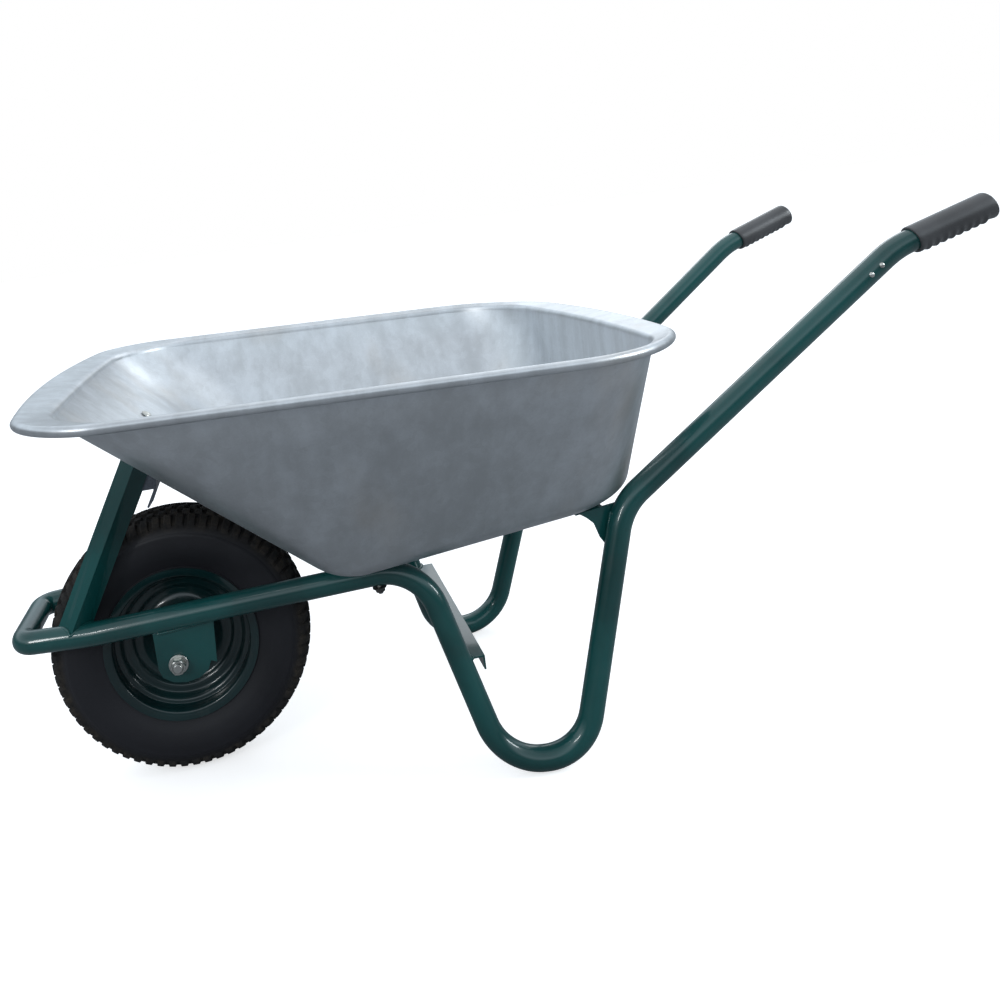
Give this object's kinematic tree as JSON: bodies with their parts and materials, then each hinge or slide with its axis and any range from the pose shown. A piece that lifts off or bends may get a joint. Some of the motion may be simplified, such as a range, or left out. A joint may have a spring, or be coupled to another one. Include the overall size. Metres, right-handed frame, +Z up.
{
  "type": "wheelbarrow",
  "caption": "Garden wheelbarrow with a deep pressed steel tray, bent green tube frame with looped legs, angle struts and a pneumatic front wheel.",
  "frame": {"origin": "on the ground, in the middle of the overall length and width", "axes": "+X towards the handles, +Y towards the pusher's right hand, +Z up"},
  "size_m": [1.43, 0.7286, 0.6847],
  "materials": {
    "galvanised": "hot-dip galvanised pressed sheet, soft spangle, cloudy streaks",
    "green_coat": "glossy dark teal-green coat",
    "rim_coat": "glossy dark green coat on pressed steel",
    "plate_steel": "dull galvanised plate",
    "zinc": "bright zinc plate",
    "bearing_steel": "oiled steel",
    "tyre_rubber": "black moulded tyre rubber, slightly dusty",
    "inner_rubber": "soft butyl rubber",
    "cap_rubber": "small moulded cap",
    "grip_rubber": "dark grey moulded rubber with finger ridges"
  },
  "bodies": {
    "frame": {"tray": "galvanised", "frame_tube_left": "green_coat", "strut_left": "green_coat", "axle_bracket_left": "green_coat", "rear_bracket_left": "green_coat", "tray_bolt_front_left": "zinc", "tray_nut_front_left": "zinc", "tray_bolt_middle_left": "zinc", "tray_nut_middle_left": "zinc", "tray_bolt_rear_left": "zinc", "tray_nut_rear_left": "zinc", "axle_spacer_left": "zinc", "axle_washer_left": "zinc", "axle_nut_left": "zinc", "grip_left": "grip_rubber", "frame_tube_right": "green_coat", "strut_right": "green_coat", "axle_bracket_right": "green_coat", "rear_bracket_right": "green_coat", "tray_bolt_front_right": "zinc", "tray_nut_front_right": "zinc", "tray_bolt_middle_right": "zinc", "tray_nut_middle_right": "zinc", "tray_bolt_rear_right": "zinc", "tray_nut_rear_right": "zinc", "axle_spacer_right": "zinc", "axle_washer_right": "zinc", "axle_nut_right": "zinc", "grip_right": "grip_rubber", "nose_tube": "green_coat", "strut_plate": "plate_steel", "leg_brace": "green_coat", "axle": "zinc"},
    "wheel": {"tyre": "tyre_rubber", "inner_tube": "inner_rubber", "rim_half_left": "rim_coat", "rim_half_right": "rim_coat", "hub": "rim_coat", "valve_stem": "zinc", "valve_cap": "cap_rubber", "bearing_left": "bearing_steel", "bearing_right": "bearing_steel"}
  },
  "joints": [
    {"name": "wheel_spin", "type": "hinge", "parent": "frame", "child": "wheel", "pos_m": [-0.4871, 0, 0.19], "axis": [0, 1, 0], "continuous": true}
  ]
}
